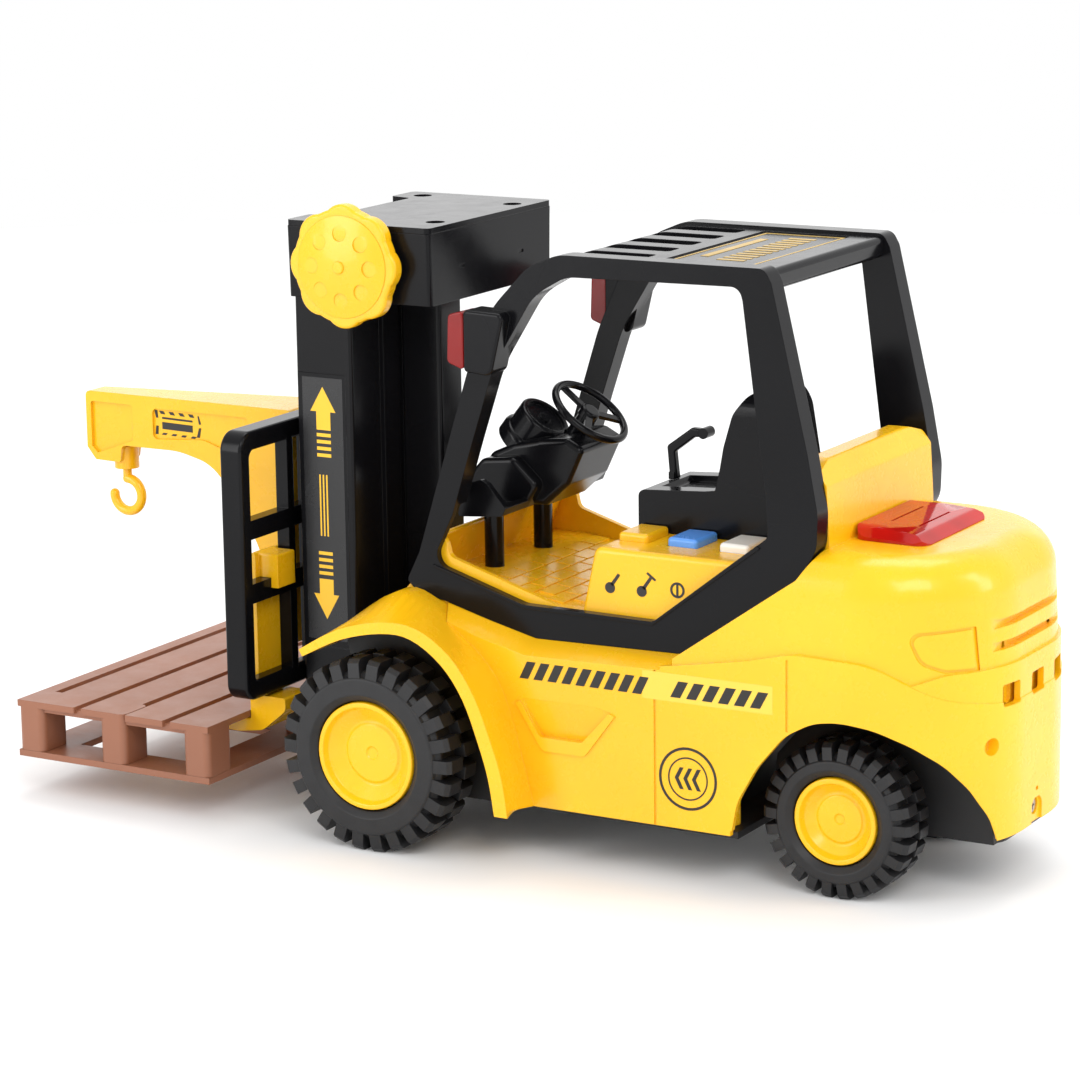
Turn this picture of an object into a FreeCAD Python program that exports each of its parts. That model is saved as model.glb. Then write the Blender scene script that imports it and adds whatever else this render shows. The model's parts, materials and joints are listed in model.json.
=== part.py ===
"""Toy forklift with a hand-wound mast, crane jib and loose pallet.

Millimetres. +X points forward to the forks, +Y to the truck's left, +Z up.
The origin is on the ground, under the middle of the overall length.
"""
import FreeCAD, Part
import math
import os

V = FreeCAD.Vector

# ---------------------------------------------------------------- driving sizes
WALL = 2.2                                   # moulded wall thickness

FRONT_AXLE = (25.5, 34.0)                    # x, z of the front axle
FRONT_R, FRONT_Y = 34.0, (53.6, 75.0)        # tyre radius, inner and outer face
REAR_AXLE = (-139.0, 26.5)
REAR_R, REAR_Y = 26.5, (28.0, 48.0)
AXLE_R, BEARING_R = 2.0, 2.1
LUGS = 26

BODY_Y = 57.0                                # half width of the lower body
REAR_X = -190.5                              # rear end of the body
REAR_ROUND = 46.0                            # plan radius of the rear corners
SKIRT_Z, REAR_SKIRT_Z = 19.8, 21.6           # lower edge of the body, front and rear
DECK_Z, FLOOR_Z, CONSOLE_Z = 116.5, 86.0, 109.5
TUB_Y = 46.0                                 # half width of the cab tub
FRONT_X = 30.0                               # front wall of the body

GUARD_Y = (46.3, 49.0)                       # thin plate of the guard's side frame
PILLAR_Y = 41.0                              # inner face of pillars and roof rail

MAST_X = (51.0, 74.0)                        # mast columns, front to back
MAST_Y = (17.0, 37.0)
HEAD_X, HEAD_Y, HEAD_Z = (15.6, 73.4), 41.7, (185.2, 212.0)
KNOB = (46.5, 198.0)                         # x, z of the knob shaft
SHAFT_R, SPOOL_R = 3.0, 8.0

BACKREST_X = (83.5, 92.5)
BACKREST_Y = 59.0
BACKREST_Z = (42.0, 138.5)
FORK_Y, FORK_W = 37.0, 15.0
PALLET_X, PALLET_Y, PALLET_Z = (92.8, 176.6), 71.0, (14.0, 35.0)
BLOCK_W = 11.2                               # length of a pallet block along X
TIP_X = 190.5                                # front end of the jib
HOOK_X = 176.0

WHEEL_AT = (-22.8, 145.3)                    # steering wheel centre
WHEEL_TILT = 38.0                            # degrees from level, towards the seat
BUTTON_X = {"button_yellow": -57.3, "button_blue": -75.9, "button_white": -95.3}
BUTTON_Y = 25.2
BUTTON_HALF = (5.6, 7.9)                     # half lengths of a button along X and Y
TOE_Z = 91.4                                 # front of the cab floor, under the dash posts
POST_AT = (6.4, 17.0)                        # x, y of the dash posts


# ---------------------------------------------------------------- shape helpers
def box(x0, x1, y0, y1, z0, z1):
    return Part.makeBox(x1 - x0, y1 - y0, z1 - z0, V(x0, y0, z0))


def outline(points, place):
    """Closed wire through (u, v) or (u, v, radius) corners; place maps u, v to 3-D."""
    edges, n, joints = [], len(points), []
    for i in range(n):
        r = points[i][2] if len(points[i]) > 2 else 0
        p = V(points[i][0], points[i][1], 0)
        if r <= 0:
            joints.append((p, None, p))
            continue
        a = (V(points[i - 1][0], points[i - 1][1], 0) - p).normalize()
        b = (V(points[(i + 1) % n][0], points[(i + 1) % n][1], 0) - p).normalize()
        half = a.getAngle(b) / 2
        reach = r / math.tan(half)
        mid = p + (a + b).normalize() * (r / math.sin(half) - r)
        joints.append((p + a * reach, mid, p + b * reach))
    for i in range(n):
        start, mid, end = joints[i]
        if mid is not None:
            edges.append(Part.Arc(place(start), place(mid), place(end)).toShape())
        after = joints[(i + 1) % n][0]
        if (after - end).Length > 1e-4:
            edges.append(Part.makeLine(place(end), place(after)))
    return Part.Wire(edges)


def eased(points, steps=4):
    """Finer polyline that runs smoothly through the given (u, v) points."""
    ends = [points[0]] + points + [points[-1]]
    made = []
    for k in range(1, len(points)):
        a, b, c, d = ends[k - 1:k + 3]
        for j in range(steps):
            t = j / steps
            made.append(tuple(b[m] + 0.5 * t * (c[m] - a[m] + t * (
                2 * a[m] - 5 * b[m] + 4 * c[m] - d[m] + t * (3 * (b[m] - c[m]) + d[m] - a[m])))
                for m in (0, 1)))
    return made + [points[-1]]


def prism_y(points, y0, y1):
    face = Part.Face(outline(points, lambda p: V(p.x, y0, p.y)))
    return face.extrude(V(0, y1 - y0, 0))


def prism_x(points, x0, x1):
    face = Part.Face(outline(points, lambda p: V(x0, p.x, p.y)))
    return face.extrude(V(x1 - x0, 0, 0))


def prism_z(points, z0, z1):
    face = Part.Face(outline(points, lambda p: V(p.x, p.y, z0)))
    return face.extrude(V(0, 0, z1 - z0))


def loft_y(points_a, y_a, points_b, y_b):
    wires = []
    for points, y in ((points_a, y_a), (points_b, y_b)):
        wires.append(outline(points, lambda p: V(p.x, y, p.y)))
    return Part.makeLoft(wires, True, True)


def cyl_y(x, z, r, y0, y1):
    return Part.makeCylinder(r, y1 - y0, V(x, y0, z), V(0, 1, 0))


def cyl_x(y, z, r, x0, x1):
    return Part.makeCylinder(r, x1 - x0, V(x0, y, z), V(1, 0, 0))


def cyl_z(x, y, r, z0, z1):
    return Part.makeCylinder(r, z1 - z0, V(x, y, z0))


def mirrored(shape):
    return shape.mirror(V(0, 0, 0), V(0, 1, 0))


def both(shape):
    return fuse([shape, mirrored(shape)])


def fuse(shapes):
    return shapes[0].fuse(shapes[1:]).removeSplitter() if len(shapes) > 1 else shapes[0]


def rounded(shape, radius, choose):
    """Fillet the edges that choose(edge) picks; a failed corner leaves them sharp."""
    edges = [e for e in shape.Edges if choose(e)]
    try:
        made = shape.makeFillet(radius, edges)
    except Exception:
        return shape
    return made if made.isValid() else shape


def along(edge, axis):
    if len(edge.Vertexes) < 2:
        return False
    d = edge.Vertexes[-1].Point - edge.Vertexes[0].Point
    return d.Length > 0 and abs(d.normalize().dot(axis)) > 0.999


def screw(x, y, z, length, axis, head_r=2.6, shank_r=1.3):
    """Pan-head screw; its head's underside is at the point, its shank runs along axis."""
    head = Part.makeCylinder(head_r, 1.6, V(x, y, z), axis * -1)
    shank = Part.makeCylinder(shank_r, length, V(x, y, z), axis)
    slot = Part.makeBox(0.7, head_r * 1.3, 0.8, V(-0.35, -head_r * 0.65, -1.7))
    cross = slot.copy()
    cross.rotate(V(0, 0, 0), V(0, 0, 1), 90)
    tool = slot.fuse(cross)
    tool.rotate(V(0, 0, 0), V(0, 0, 1).cross(axis) if abs(axis.z) < 0.9 else V(1, 0, 0),
                math.degrees(V(0, 0, 1).getAngle(axis)))
    tool.translate(V(x, y, z))
    return fuse([head, shank]).cut(tool)


# ---------------------------------------------------------------- body outlines
SILL_LINE = [(22.0, 90.5), (17.5, 86.8), (8.0, 85.6), (-10.5, 80.5), (-28.5, 76.2),
             (-84.0, 77.2)]
FENDER_EDGE = eased([(50.0, 66.5), (34.2, 74.2), (18.0, 78.1), (6.1, 77.4), (-5.6, 70.1),
               (-14.0, 59.0), (-20.0, 44.1), (-23.6, 32.4), (-25.7, SKIRT_Z)])
FENDER_RIM = eased([(51.3, 68.9), (35.8, 77.4), (18.6, 82.0), (4.0, 81.4), (-9.2, 73.4),
              (-18.4, 60.8), (-24.8, 45.4), (-28.7, 33.4), (-30.9, SKIRT_Z)])
FENDER_ROOT = eased([(51.9, 69.6), (42.0, 76.2), (22.5, 88.6), (10.0, 85.9), (1.0, 79.6),
               (-11.3, 70.3), (-20.6, 57.2), (-28.0, 33.0), (-31.4, SKIRT_Z)])
REAR_ARCH = [(-106.0, 10.0), (-106.3, 20.3), (-108.4, 31.6, 20), (-115.5, 44.1, 30),
             (-125.7, 56.3, 20), (-135.7, 61.9, 20), (-145.6, 63.4, 30), (-156.9, 61.8, 30),
             (-167.5, 56.8, 30), (-176.4, 49.9, 25), (-182.2, 41.1, 25), (-186.3, 30.4, 25),
             (-188.0, 20.0), (-188.6, 10.0)]


def plan_outline(inset, x_front):
    y = BODY_Y - inset
    x = REAR_X + inset
    r = REAR_ROUND - inset
    return [(x_front, -y), (x_front, y), (x, y, r), (x, -y, r)]


def wave_line(inset):
    """Side view of the lower body, whose upper edge is the wavy crease."""
    i = inset
    return [(-80.0, 0.0), (-80.0, 74.5 - i), (-91.4, 76.3 - i, 30), (-112.0, 80.0 - i, 30),
            (-128.0, 84.0 - i, 30), (-155.4, 83.3 - i, 30), (-175.2, 71.9 - i, 40),
            (-200.0, 64.0 - i), (-200.0, 0.0)]


def upper_line(inset):
    """Side view of the rear body above the crease, cut along the guard's rear foot."""
    i = inset
    return [(-84.0 - i, 0.0), (-84.0 - i, 77.2 - i), (-128.0 - i, 107.8 - i, 3),
            (-134.2 - i, 118.0 - i), (-134.2 - i, 140.0), (-200.0, 140.0), (-200.0, 0.0)]


def upper_block(inset):
    """Drafted rear block above the crease, with one broad round along its upper edge."""
    i = inset
    wires = []
    for z, extra in ((60.0, 0.6), (DECK_Z - i, 3.0)):
        wires.append(outline(plan_outline(i + extra, -79), lambda p: V(p.x, p.y, z)))
    block = Part.makeLoft(wires, True, True)
    return rounded(block, 14.0 - i, lambda e: e.CenterOfMass.z > DECK_Z - i - 0.01
                   and e.CenterOfMass.x < -80)


def rear_band(inset):
    """Slightly raised belt around the tail, between the crease and the lamps."""
    i = inset
    side = prism_y([(-200.0, 60.0), (-200.0, 79.7 - i), (-177.0 - i, 79.7 - i, 12),
                    (-167.0 - i, 76.4 - i, 12), (-156.0 - i, 70.6), (-156.0 - i, 60.0)], -80, 80)
    return side.common(prism_z(plan_outline(i + 0.35, -79), 0, 100))


def rear_block(inset):
    lower = prism_y(wave_line(inset), -80, 80).common(prism_z(plan_outline(inset, -79), 0, 100))
    upper = prism_y(upper_line(inset), -80, 80).common(upper_block(inset))
    return lower.fuse([upper, rear_band(inset)])


def side_skirt(inset):
    """Both side panels under the guard's sill, from the front arch to the rear."""
    i = inset
    low = [(x - i * 0.9, z) for x, z in ((-26.1, 33.0), (-19.0, 56.0), (-10.3, 69.4))]
    low = [(-84.0, SKIRT_Z - i * 4), (-29.9 - i * 0.9, SKIRT_Z - i * 4)] + low
    inner = low + [(0.0 - i, 78.5 - i), (6.0 - i, 84.9 - i), (-10.5, 80.5 - i),
                   (-28.5, 76.2 - i), (-84.0, 77.2 - i)]
    outer = low + [(0.0 - i, 78.5 - i), (2.0 - i, 80.6 - i), (-10.5, 76.6 - i),
                   (-28.5, 72.2 - i), (-84.0, 73.2 - i)]
    skirt = loft_y(inner, 40.0, inner, 49.3).fuse(loft_y(inner, 49.3, outer, BODY_Y - i))
    return skirt.fuse(mirrored(skirt))


def tub(inset):
    """Cab floor and control console between the side frames."""
    i = inset
    floor = [(FRONT_X - i, 24.0 - i * 4), (FRONT_X - i, 82.0 - i), (21.0 - i, TOE_Z - i),
             (4.0, TOE_Z - i), (-44.3 - i, FLOOR_Z - i), (-49.6 - i, CONSOLE_Z - i, 3),
             (-124.0, CONSOLE_Z - i), (-124.0, 24.0 - i * 4)]
    middle = prism_y(floor, -TUB_Y + i, TUB_Y - i)
    if i == 0.0:
        middle = rounded(middle, 2.0, lambda e: abs(abs(e.CenterOfMass.y) - TUB_Y) < 0.01
                         and e.CenterOfMass.x < -44 and e.CenterOfMass.z > 90)
    wing = [(FRONT_X - i, 24.0 - i * 4), (FRONT_X - i, 82.0 - i)]
    wing += [(x, z - i) for x, z in SILL_LINE[1:]] + [(-84.0, 24.0 - i * 4)]
    return middle.fuse(prism_y(wing, -47.8 + i, 47.8 - i))


def front_bulkhead():
    """Leaning front wall of the cab, with side walls that step down along the floor."""
    wall = prism_y([(24.5, 80.0), (22.0, 90.0), (14.8, 107.0, 1), (12.4, 107.0, 1), (19.4, 90.0),
                    (21.5, 80.0)], -TUB_Y, TUB_Y)
    cheek = prism_y([(23.0, 84.0), (21.0, 92.0), (14.6, 107.0), (8.4, 107.0, 3), (6.8, 100.4, 3),
                     (-9.0, 95.6), (-41.5, 85.7), (-41.5, 84.0), (-9.0, 84.0)],
                    TUB_Y - WALL, TUB_Y)
    return wall.fuse([cheek, mirrored(cheek)])


def hump_form(inset):
    """Crowned block behind the seat, cut from a side view and a cross-section."""
    i = inset
    side = [(-119.0 - i, 90.0), (-119.0 - i, 144.0 - i, 4), (-128.8, 144.0 - i, 2),
            (-131.0 + i, 139.6, 2), (-132.9 + i, 137.0, 2), (-134.0 + i, 119.0, 2),
            (-134.2 + i, 90.0)]
    y = 41.0 - i
    across = [(-y, 90.0), (-y, 141.0 - i, 3), (-30.0, 144.1 - i, 20), (30.0, 144.1 - i, 20),
              (y, 141.0 - i, 3), (y, 90.0)]
    return prism_y(side, -50, 50).common(prism_x(across, -150, -100))


def fender():
    """Flared left front mudguard, lofted from its rim out to the body side."""
    rim = FENDER_EDGE + FENDER_RIM[::-1]
    root = FENDER_EDGE + FENDER_ROOT[::-1]
    flare = loft_y(rim, 74.0, root, BODY_Y)
    stub = prism_y(root, 47.8, BODY_Y).cut(box(0.0, 30.0, 47.0, GUARD_Y[1] + 0.05, 85.4, 96.0))
    return flare.fuse(stub)


SWAGE = [(-27.6, 57.2), (-34.2, 44.4, 1.5), (-50.6, 44.4, 1.5), (-61.2, 56.2), (-55.0, 57.6)]


def swage_lip():
    """Raised ledge along the lower edge of the pocket pressed into the left body side."""
    band = [(-24.8, 55.8, 0.6), (-35.2, 39.8, 3), (-51.6, 39.8, 3), (-63.4, 55.4, 0.6),
            (-61.0, 56.0, 0.6), (-50.6, 44.6, 2), (-34.4, 44.6, 2), (-27.0, 56.4, 0.6)]
    return prism_y(band, BODY_Y - 0.6, BODY_Y + 0.8)


def swage_pocket():
    """Pocket that deepens towards its ledge."""
    wedge = prism_x([(BODY_Y + 0.05, 58.0), (BODY_Y + 0.05, 44.0), (BODY_Y - 2.2, 44.0)],
                    -64, -24)
    return prism_y(SWAGE, BODY_Y - 4, BODY_Y + 0.04).common(wedge)


def deck_window(grow=0.0):
    """Plan of the warning light's opening in the rear deck."""
    g = grow
    return [(-137.4 + g, -22.6 - g, 5), (-137.4 + g, 22.6 + g, 5),
            (-158.6 - g, 23.4 + g, 5), (-158.6 - g, -23.4 - g, 5)]


LOUVRE_Z = (93.6, 86.2)
TAIL_SCREW = (-187.4, 26.8)                  # x, z of the screw in the tail


def rear_backing():
    """Inner skins that close the louvres and windows, and bosses behind the tail's holes."""
    parts = [box(-186.4, -184.4, -33.0, 33.0, 89.6, 99.0),
             box(-186.4, -184.4, -17.8, 17.8, 62.0, 89.7),
             cyl_x(0, TAIL_SCREW[1], 5.0, -189.0, -185.4)]
    for side in (-1, 1):
        parts.append(cyl_x(side * 29.2, 53.8, 4.6, -189.0, -181.0))
    return fuse(parts).common(rear_block(0.4))


def rear_openings():
    cuts = []
    for z in LOUVRE_Z:
        cuts.append(prism_x([(-28.4, z - 1.4, 1), (-28.4, z + 1.4, 1), (28.4, z + 1.4, 1),
                             (28.4, z - 1.4, 1)], -200, -185.6))
    for y in (-19.4, 0.0, 19.4):
        cuts.append(prism_x([(y - 5.0, 66.0, 1), (y - 5.0, 73.4, 1), (y + 5.0, 73.4, 1),
                             (y + 5.0, 66.0, 1)], -200, -185.6))
    cuts.append(prism_x([(-4.4, 15.0), (-4.4, 30.0, 3.5), (4.4, 30.0, 3.5), (4.4, 15.0)],
                        -200, -189.6))
    cuts.append(box(-200, -189.4, -1.0, 1.0, 32.4, 33.6))
    cuts.append(cyl_x(0, TAIL_SCREW[1], 2.9, -200, TAIL_SCREW[0]))
    cuts.append(cyl_x(0, TAIL_SCREW[1], 1.5, -200, -180))
    for side in (-1, 1):
        cuts.append(cyl_x(side * 29.2, 53.8, 2.9, -200, -184.0))
    return cuts


def body_grooves():
    """Shallow panel lines and the lamp outline on each rear corner."""
    cuts = []
    lines = [((-77.7, -78.5), (20.0, 73.0)), ((-126.2, -127.0), (58.0, 82.0))]
    for (x1, x0), (z0, z1) in lines:
        cuts.append(box(x0, x1, BODY_Y - 0.5, BODY_Y + 1, z0, z1))
    lamp = [(-165.0, 93.4, 3), (-169.0, 83.4, 6), (-175.5, 80.1, 5), (-183.5, 79.8),
            (-182.3, 94.4, 0.5)]
    inner = [(-166.1, 92.5, 2.5), (-169.9, 84.0, 5.5), (-176.0, 81.0, 4.5), (-182.4, 80.7),
             (-181.3, 93.5, 0.3)]
    ring = prism_y(lamp, 26, 60).cut(prism_y(inner, 25, 61))
    cuts.append(ring.cut(upper_block(0.55)))
    return cuts + [mirrored(c) for c in cuts]


def button_hole(x):
    hx, hy = BUTTON_HALF
    return box(x - hx - 0.3, x + hx + 0.3, BUTTON_Y - hy - 0.3, BUTTON_Y + hy + 0.3, 100, 115)


def screw_posts():
    """Posts under the cab floor and console that take the chassis screws."""
    return [cyl_z(x, y, 3.2, 19.4, 84.6 if x > -50 else 108.2)
            for x, y, _ in BODY_SCREW_AT if abs(y) > 1]


def body_shell():
    outer = rear_block(0.0).fuse([side_skirt(0.0), tub(0.0)])
    outer = outer.cut([box(-200, 60, -80, 80, -1, SKIRT_Z),
                       box(-200, -106, -80, 80, -1, REAR_SKIRT_Z)])
    hollow = rear_block(WALL).fuse([side_skirt(WALL), tub(WALL)])
    shell = outer.cut(hollow)
    pocket_back = prism_y(SWAGE, BODY_Y - 4.6, BODY_Y - 1.9)
    shell = shell.fuse([front_bulkhead(), fender(), mirrored(fender()), swage_lip(),
                        mirrored(swage_lip()), pocket_back, mirrored(pocket_back),
                        rear_backing()] + screw_posts())
    shell = shell.fuse(hump_form(0.0).common(box(-200, 0, -60, 60, 106, 160)))
    shell = shell.cut(hump_form(WALL))
    arch = prism_y(REAR_ARCH, 24.5, 70)
    shell = shell.cut([box(26.0, FRONT_X + 1, -48.0, 48.0, 19.0, 46.0),
                       box(22.0, FRONT_X + 1, -60.0, 60.0, 19.0, 38.0)])
    mouth = prism_y([(-28.0, 10.0)] + [(x, z) for x, z in FENDER_EDGE[::-1]] + [(70.0, 60.0),
                    (70.0, 10.0)], 47.8, 80)
    shell = shell.cut([arch, mirrored(arch), mouth, mirrored(mouth), swage_pocket(),
                       mirrored(swage_pocket())])
    shell = shell.cut([prism_z(deck_window(0.2), 108, 125)] + rear_openings() + body_grooves())
    shell = shell.cut([button_hole(x) for x in BUTTON_X.values()])
    x, y = POST_AT
    shell = shell.cut([cyl_z(x, side * y, 3.45, TOE_Z - 3.0, TOE_Z + 1) for side in (-1, 1)])
    shell = shell.cut([cyl_z(sx, sy, 1.35, 10.0, 32.0) for sx, sy, _ in BODY_SCREW_AT
                       if abs(sy) > 1])
    return fuse([shell] + floor_treads()).removeSplitter()


def floor_treads():
    """Brick-bond tread pattern on the sloping cab floor."""
    rise = (TOE_Z - FLOOR_Z) / 48.3
    skin = prism_y([(-44.3, FLOOR_Z - 0.3), (-44.3, FLOOR_Z + 0.7),
                    (4.0, FLOOR_Z + 0.7 + rise * 48.3), (4.0, FLOOR_Z - 0.3 + rise * 48.3)],
                   -44.0, 44.0)
    tiles = []
    for i in range(6):
        for j in range(7 - i % 2):
            x = -4.4 - i * 6.8
            y = (j - 3 + 0.5 * (i % 2)) * 11.8
            tiles.append(box(x - 3.0, x + 3.0, y - 5.4, y + 5.4, 80.0, 100.0).common(skin))
    return tiles


# ---------------------------------------------------------------- chassis
def chassis_base():
    floor = box(-105.4, -28.0, -50.0, 50.0, 16.8, 19.2)
    tail = prism_z([(-105.4, 24.0), (-187.0, 24.0, 8), (-187.0, -24.0, 8), (-105.4, -24.0)],
                   19.0, 21.3)
    step = box(-107.4, -103.4, -24.0, 24.0, 16.8, 21.3)
    nose = box(-28.1, 48.8, -46.0, 46.0, 16.8, 19.2)
    post = box(-185.2, -180.5, -4.0, 4.0, 21.0, 31.5)
    parts = [floor, tail, step, nose, post]
    for side in (-1, 1):
        y0, y1 = sorted((side * 42.0, side * 45.4))
        parts.append(box(FRONT_AXLE[0] - 8, FRONT_AXLE[0] + 5.6, y0, y1, 19.0, 44.0))
        y0, y1 = sorted((side * 20.5, side * 24.2))
        parts.append(prism_y([(-185.6, 19.1), (-183.8, 38.0), (-176.0, 52.5), (-166.0, 60.5),
                              (-145.0, 66.0), (-124.0, 60.0), (-107.0, 40.0), (-105.0, 19.1)],
                             y0, y1))
        y0, y1 = sorted((side * 48.1, side * 50.4))
        well = [(x + (FRONT_AXLE[0] - x) * 0.02, z + (FRONT_AXLE[1] - z) * 0.02)
                for x, z in FENDER_EDGE[1:-1]]
        well = [(34.0, 17.0)] + well + [(-24.6, 19.0), (-24.0, 17.0)]
        parts.append(prism_y(well, y0, y1))
        parts.append(box(-24.0, 34.0, *sorted((side * 45.9, side * 48.3)), 16.8, 19.2))
    bracket = box(FRONT_X + 0.2, MAST_X[0] - 1.9, -36.0, 36.0, 19.0, 64.0)
    bracket = bracket.cut(box(FRONT_X + 2.6, 60, -33.6, 33.6, 21.6, 61.0))
    face = box(MAST_X[0] - 4.0, MAST_X[0] - 1.9, -36.0, 36.0, 19.0, 64.0)
    parts += [bracket, face]
    base = fuse(parts)
    base = base.cut(cyl_y(*FRONT_AXLE, BEARING_R, -60, 60))
    base = base.cut(cyl_y(*REAR_AXLE, BEARING_R, -60, 60))
    base = base.cut(battery_opening())
    for x, y, z in MAST_SCREW_AT:
        base = base.cut(cyl_x(y, z, 1.35, x - 12, x + 1))
    for x, y, _ in BODY_SCREW_AT:
        base = base.cut(cyl_z(x, y, 1.5, 10, 25))
    return base.cut(cyl_x(0, TAIL_SCREW[1], 1.35, -190, -180))


BODY_SCREW_AT = [(-34.0, 42.5, 16.8), (-34.0, -42.5, 16.8), (-99.0, 42.5, 16.8),
                 (-99.0, -42.5, 16.8), (-172.0, 0.0, 19.0)]
MAST_SCREW_AT = [(MAST_X[0] + 0.6, y, z) for y in (-11.0, 11.0) for z in (24.5, 34.0)]


def battery_opening():
    return box(-90.0, -33.0, -31.0, 31.0, 16.0, 20.0)


def battery_box():
    tray = box(-91.5, -31.5, -33.0, 33.0, 19.3, 38.0)
    tray = tray.cut(box(-89.8, -33.2, -31.2, 31.2, 19.0, 36.4))
    boss = box(-39.0, -32.0, -3.0, 3.0, 19.3, 37.0)
    return tray.fuse(boss).cut(cyl_z(-36.2, 0.0, 1.35, 19.0, 30.0))


def battery_cells():
    cells = []
    for i in range(3):
        x = -47.0 - i * 16.8
        cell = cyl_y(x, 28.2, 7.2, -25.0, 24.2).fuse(cyl_y(x, 28.2, 2.7, 24.2, 25.4))
        cells.append(cell)
    return Part.makeCompound(cells)


def battery_cover():
    lid = box(-89.7, -33.3, -30.7, 30.7, 16.8, 19.0)
    lid = rounded(lid, 2.0, lambda e: along(e, V(0, 0, 1)))
    lid = lid.cut([box(-84 + i * 4, -82.4 + i * 4, -12, 12, 16.7, 17.4) for i in range(4)])
    return lid.cut(cyl_z(-36.2, 0.0, 1.5, 16, 20)).cut(cyl_z(-36.2, 0.0, 2.5, 16, 18.0))


def battery_cover_screw():
    return screw(-36.2, 0.0, 18.0, 8.0, V(0, 0, 1), head_r=2.3)


def body_screws():
    made = []
    for x, y, z in BODY_SCREW_AT:
        made.append(screw(x, y, z, 10.0, V(0, 0, 1), head_r=2.4))
    made.append(screw(TAIL_SCREW[0], 0.0, TAIL_SCREW[1], 5.6, V(1, 0, 0), head_r=2.4))
    return Part.makeCompound(made)


# ---------------------------------------------------------------- wheels
def tyre(axle, radius, y0, y1, rim_r, lug_h, lug_w):
    """Left-hand tyre: rounded carcass with chunky shoulder lugs, staggered in two rows."""
    base = radius - lug_h
    mid = (y0 + y1) / 2
    half = (y1 - y0) / 2
    section = [(rim_r, mid - half + 2.0, 1), (rim_r, mid + half - 2.0, 1),
               (rim_r + 2.4, mid + half, 0.8), (base - 2.2, mid + half - 0.2, 1.0),
               (base - 1.6, mid + half - 1.8, 0.6), (base, mid + half - 3.4, 1.2),
               (base, mid - half + 3.4, 1.2), (base - 1.6, mid - half + 1.8, 0.6),
               (base - 2.2, mid - half + 0.2, 1.0), (rim_r + 2.4, mid - half, 0.8)]
    ring = Part.Face(outline(section, lambda p: V(p.x, p.y, 0)))
    ring = ring.revolve(V(0, 0, 0), V(0, 1, 0), 360)
    lugs = []
    for row, side in enumerate((1, -1)):
        for i in range(LUGS):
            profile = [(base - 2.6, mid + side * (half - 0.7)),
                       (radius - 1.4, mid + side * (half - 1.3)),
                       (radius, mid + side * (half - 2.8)), (radius, mid + side * 0.8),
                       (base - 1.0, mid + side * 0.8)]
            face = Part.Face(outline(profile, lambda p: V(p.x, p.y, -lug_w / 2)))
            lug = face.extrude(V(0, 0, lug_w))
            lug.rotate(V(0, 0, 0), V(0, 1, 0), (i + 0.5 * row) * 360.0 / LUGS)
            lugs.append(lug)
    made = ring.fuse(lugs)
    made.translate(V(axle[0], 0, axle[1]))
    return made


def rim(axle, rim_r, y0, y1, dish):
    """Left-hand wheel: conical dish down to a low hub disc, bored for the axle."""
    section = [(AXLE_R, y0 + 3.0), (rim_r - 0.2, y0 + 3.0), (rim_r - 0.2, y0 + 1.5),
               (rim_r - 0.2, y0 + 0.6), (rim_r - 0.2, y1 - 2.4), (rim_r - 0.4, y1 - 1.2, 0.5),
               (rim_r - 2.0, y1 - 1.2, 0.5), (rim_r - 3.0, y1 - 3.4, 0.8),
               (rim_r * 0.58, y1 - dish, 1.0), (rim_r * 0.52, y1 - dish + 0.9, 0.5),
               (rim_r * 0.13, y1 - dish + 1.1), (rim_r * 0.10, y1 - dish + 0.5),
               (0.0, y1 - dish + 0.5), (0.0, y1 - dish - 2.5), (AXLE_R, y1 - dish - 2.5)]
    face = Part.Face(outline(section, lambda p: V(p.x, p.y, 0)))
    made = face.revolve(V(0, 0, 0), V(0, 1, 0), 360)
    made.translate(V(axle[0], 0, axle[1]))
    return made


def front_tyre():
    return tyre(FRONT_AXLE, FRONT_R, *FRONT_Y, 19.4, 4.3, 4.5)


def rear_tyre():
    return tyre(REAR_AXLE, REAR_R, *REAR_Y, 15.2, 3.6, 3.5)


def front_rim():
    return rim(FRONT_AXLE, 19.2, FRONT_Y[0], FRONT_Y[1], 7.0)


def rear_rim():
    return rim(REAR_AXLE, 15.0, REAR_Y[0], REAR_Y[1], 6.0)


def axle_rod(axle, reach):
    return cyl_y(*axle, AXLE_R - 0.02, -reach, reach)


# ---------------------------------------------------------------- overhead guard
GUARD_OUTER = [(-114.5, 207.5, 4), (-38.5, 207.4, 16), (-27.0, 202.6, 16), (-12.9, 187.9, 30),
               (-3.4, 166.6, 60), (8.7, 128.8), (17.2, 101.8, 6), (22.4, 91.2, 2),
               (17.5, 86.9, 3), (8.1, 85.7, 8), (-10.5, 80.6, 8), (-28.5, 76.3, 8),
               (-84.1, 77.3, 3), (-127.5, 107.8, 4), (-133.2, 117.4, 10), (-133.6, 128.9, 20),
               (-130.0, 148.0, 30), (-117.0, 203.0, 4)]
GUARD_INNER = [(-105.5, 201.0, 4), (-41.5, 200.2, 14), (-29.2, 193.2, 20), (-13.4, 168.0, 50),
               (-4.5, 141.6), (3.8, 115.8), (12.2, 98.5, 5), (-24.0, 87.6, 10), (-73.6, 87.2, 4),
               (-115.8, 119.8, 3), (-115.1, 132.0, 10), (-106.7, 196.5, 4)]


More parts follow.
